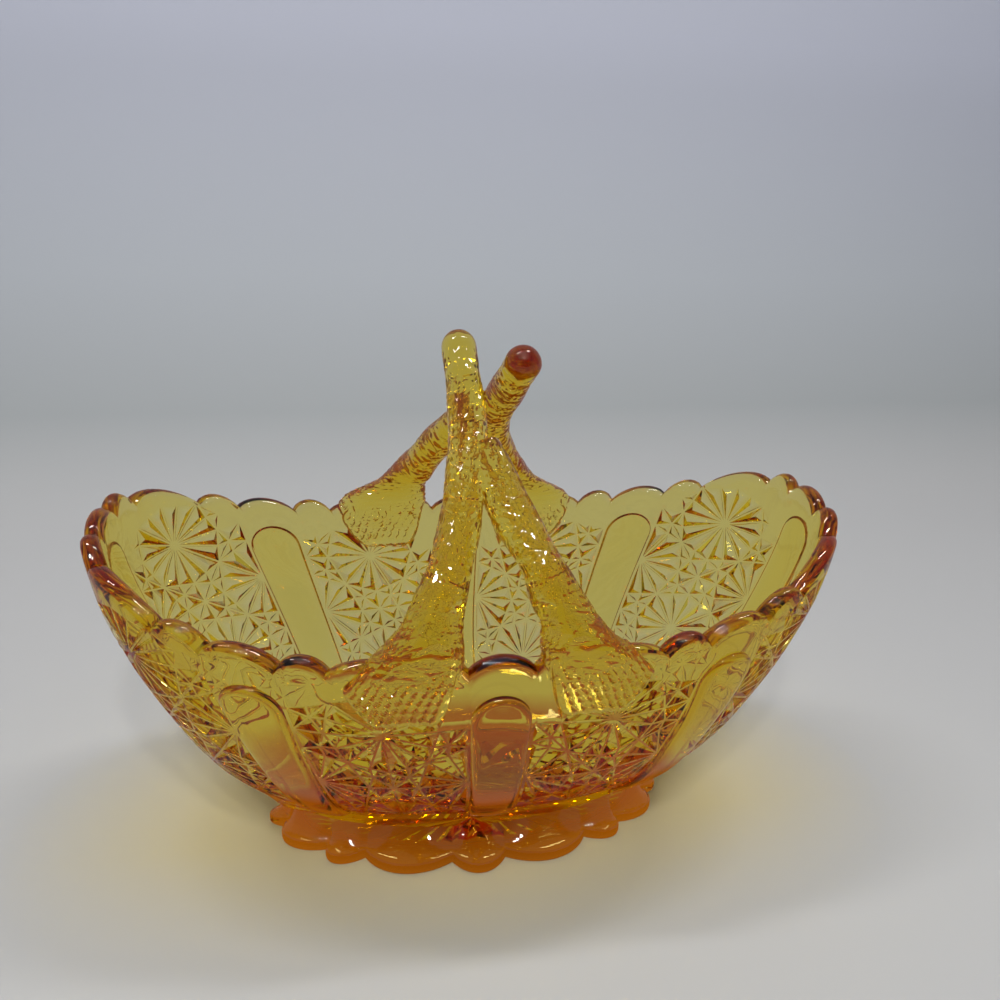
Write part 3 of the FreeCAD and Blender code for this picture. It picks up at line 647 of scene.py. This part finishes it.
def backdropMaterial():
    # matt board, which takes the glass's shadow. Its base colour has painted shade low in the cove and
    # painted light up the wall, and a yellowish painted caustic tint round the foot.
    # Through the glass the floor glows evenly with no shadow, except for an oval patch of painted amber
    # caustic light and shade, darkest under the foot's middle. In reflections the floor away from the foot
    # glows in a painted shadow colour
    material, tree = newMaterial("mattPaleBoard")

    def ramp(factor, stops, end):
        node = addNode(tree, "ShaderNodeValToRGB", {}, {0: factor})
        band = node.color_ramp.elements
        while len(band) < len(stops):
            band.new(1.0)
        for element, (place, code) in zip(band, stops):
            element.position, element.color = place / end, (*linear(code), 1)
        return node.outputs["Color"]

    def mixed(factor, first, second):
        mix = addNode(tree, "ShaderNodeMix", {"data_type": "RGBA"}, {0: factor, 6: first})
        mix.inputs[7].default_value = (*linear(second), 1)
        return mix.outputs[2]

    def share(value, low, high):
        return addNode(tree, "ShaderNodeMapRange", {"From Min": low, "From Max": high},
                       {"Value": value}).outputs[0]

    place = addNode(tree, "ShaderNodeTexCoord").outputs["Object"]
    split = addNode(tree, "ShaderNodeSeparateXYZ", {}, {0: place})
    height = split.outputs["Z"]
    shrink = (1 / studio["halfLength"], 1 / studio["halfDepth"], 1 / studio["halfDepth"])
    oval = addNode(tree, "ShaderNodeVectorMath", {"operation": "MULTIPLY", 1: shrink}, {0: place})
    length = addNode(tree, "ShaderNodeVectorMath", {"operation": "LENGTH"}, {0: oval.outputs[0]})
    reach = length.outputs["Value"]
    # painted shade and light on the board: darker low in the cove, paler and bluer up the wall
    painted = ramp(share(height, 0.0, studio["paintedLightTop"]), studio["board"], studio["paintedLightTop"])
    # painted caustic light: a yellowish tint on the board round the foot, fading out with the oval's reach
    # and off in front of the foot
    paintedCausticShare = addNode(tree, "ShaderNodeMath", {"operation": "MULTIPLY"}, {
        0: share(reach, studio["paintedCausticTo"], studio["paintedCausticFrom"]),
        1: share(split.outputs["Y"], studio["paintedCausticFront"], studio["paintedCausticBack"])})
    boardWithPaintedCaustic = mixed(paintedCausticShare.outputs[0], painted, studio["paintedCausticTint"])
    board = addNode(tree, "ShaderNodeBsdfPrincipled", {
        "Roughness": studio["boardRoughness"], "Specular IOR Level": studio["boardShine"]},
        {"Base Color": boardWithPaintedCaustic})
    # painted caustic light and shade: the amber oval patch that rays through the glass see on the floor
    amber = ramp(share(reach, 0.0, studio["paintedLightPatchReach"]), studio["amber"], studio["paintedLightPatchReach"])
    through = mixed(share(height, 0.0, studio["cove"]), amber, studio["seenWall"])
    ray = addNode(tree, "ShaderNodeLightPath")
    # painted shadow: in reflections the floor away from the foot takes a darker, shaded colour
    mirror = addNode(tree, "ShaderNodeMath", {"operation": "MULTIPLY"}, {
        0: ray.outputs["Is Reflection Ray"], 1: share(reach, studio["paintedShadowFrom"], studio["paintedShadowTo"])})
    seen = mixed(mirror.outputs[0], through, studio["mirrored"])
    plain = addNode(tree, "ShaderNodeEmission", {"Strength": 1.0}, {"Color": seen})
    inGlass = addNode(tree, "ShaderNodeMath", {"operation": "MAXIMUM"},
                      {0: ray.outputs["Is Glossy Ray"], 1: ray.outputs["Is Transmission Ray"]})
    both = addNode(tree, "ShaderNodeMixShader", {},
                   {0: inGlass.outputs[0], 1: board.outputs[0], 2: plain.outputs[0]})
    addNode(tree, "ShaderNodeOutputMaterial", {}, {"Surface": both.outputs[0]})
    material.cycles.emission_sampling = "NONE"
    return material


def backdropObject():
    # flat floor, a quarter-circle cove and an upright wall, carried straight along X
    angles = np.linspace(0, np.pi / 2, studio["coveRows"])
    y = np.concatenate([[-studio["front"]], studio["back"] - studio["cove"] + studio["cove"] * np.sin(angles),
                        [studio["back"]]])
    z = np.concatenate([[0], studio["cove"] * (1 - np.cos(angles)), [studio["height"]]])
    points = np.concatenate([np.stack([np.full(len(y), side * studio["halfWidth"]), y, z], 1)
                             for side in (-1, 1)])
    k = np.arange(len(y) - 1)
    quads = np.stack([k, k + len(y), k + len(y) + 1, k + 1], 1)
    mesh = bpy.data.meshes.new("backdrop")
    mesh.from_pydata(points.tolist(), [], quads.tolist())
    mesh.polygons.foreach_set("use_smooth", np.ones(len(quads), bool))
    made = bpy.data.objects.new("backdrop", mesh)
    bpy.context.collection.objects.link(made)
    made.data.materials.append(backdropMaterial())
    return made


print("floor and backdrop")
backdropObject()

lampAim = 0.06
lamps = (
    dict(name="topLeft", place=(-0.32, 0.02, 0.85), size=(0.30, 0.05), power=1.6, colour="#FFFFFF"),
    dict(name="topRight", place=(0.32, 0.02, 0.85), size=(0.30, 0.05), power=1.6, colour="#FFFFFF"),
    dict(name="frontLeft", place=(-0.16, -0.50, 0.70), size=(0.04, 0.04), power=1.1, colour="#FFFFFF"),
    dict(name="frontMiddle", place=(-0.07, -0.50, 0.70), size=(0.04, 0.04), power=1.1, colour="#FFFFFF"),
    dict(name="frontRight", place=(0.03, -0.50, 0.70), size=(0.04, 0.04), power=1.1, colour="#FFFFFF"),
)


def addLamp(lamp):
    # area lamp that looks at the middle of the basket, at lampAim above the floor
    light = bpy.data.lights.new(lamp["name"], "AREA")
    light.shape = "RECTANGLE"
    light.size, light.size_y = lamp["size"]
    light.energy, light.color = lamp["power"], linear(lamp["colour"])
    made = bpy.data.objects.new(lamp["name"], light)
    place = np.array(lamp["place"])
    back = place - np.array([0, 0, lampAim])
    back /= np.linalg.norm(back)
    across = np.cross([0, 1, 0], back)
    across /= np.linalg.norm(across)
    up = np.cross(back, across)
    made.matrix_world = Matrix(np.vstack([np.column_stack([across, up, back, place]), [0, 0, 0, 1]]).tolist())
    bpy.context.collection.objects.link(made)


print("lamps, world and camera")
for lamp in lamps:
    addLamp(lamp)


def setWorld():
    # pale box all round, darker towards the camera, where the box is open, and in what the glass mirrors
    world = bpy.data.worlds.new("paleRoom")
    bpy.context.scene.world = world
    world.use_nodes = True
    tree = world.node_tree
    tree.nodes.clear()
    place = addNode(tree, "ShaderNodeTexCoord")
    split = addNode(tree, "ShaderNodeSeparateXYZ", {}, {0: place.outputs["Generated"]})
    share = addNode(tree, "ShaderNodeMapRange", {
        "From Min": studio["darkUntil"], "From Max": studio["paleFrom"]}, {"Value": split.outputs["Y"]})
    colour = addNode(tree, "ShaderNodeMix", {"data_type": "RGBA"}, {0: share.outputs[0]})
    colour.inputs[6].default_value = (*linear(studio["dark"]), 1)
    colour.inputs[7].default_value = (*linear(studio["world"]), 1)
    ray = addNode(tree, "ShaderNodeLightPath")
    mirror = addNode(tree, "ShaderNodeMix", {"data_type": "RGBA", "blend_type": "DARKEN"},
                     {0: ray.outputs["Is Reflection Ray"], 6: colour.outputs[2]})
    mirror.inputs[7].default_value = (*linear(studio["mirroredWorld"]), 1)
    shine = addNode(tree, "ShaderNodeBackground", {"Strength": 1.0}, {"Color": mirror.outputs[2]})
    addNode(tree, "ShaderNodeOutputWorld", {}, {"Surface": shine.outputs[0]})


setWorld()

# fitted to the photo: angles in degrees, place in millimetres
camera = dict(focalPixels=887.88, imagePixels=1000, sensor=36, yaw=-10.355, pitch=24.065, roll=2.376,
              place=(-33.85, -219.2, 206.78), clipStart=0.01)


def setCamera():
    # looks along (-sin yaw cos pitch, cos yaw cos pitch, -sin pitch), rolled about that line
    yaw, pitch, roll = [math.radians(camera[key]) for key in ("yaw", "pitch", "roll")]
    forward = np.array([-math.sin(yaw) * math.cos(pitch), math.cos(yaw) * math.cos(pitch), -math.sin(pitch)])
    right = np.array([math.cos(yaw), math.sin(yaw), 0])
    up = np.cross(right, forward)
    across = right * math.cos(roll) + up * math.sin(roll)
    above = up * math.cos(roll) - right * math.sin(roll)
    lens = bpy.data.cameras.new("photoView")
    lens.sensor_width = camera["sensor"]
    lens.lens = camera["focalPixels"] / camera["imagePixels"] * camera["sensor"]
    lens.clip_start = camera["clipStart"]
    made = bpy.data.objects.new("photoView", lens)
    place = np.array(camera["place"]) * mm
    made.matrix_world = Matrix(np.vstack([np.column_stack([across, above, -forward, place]),
                                          [0, 0, 0, 1]]).tolist())
    bpy.context.collection.objects.link(made)
    bpy.context.scene.camera = made


setCamera()
bpy.context.scene.view_settings.view_transform = "Standard"
cycles = bpy.context.scene.cycles
cycles.max_bounces = cycles.transmission_bounces = 18   # light crosses many walls of glass
cycles.glossy_bounces = 8

print("scene ready")
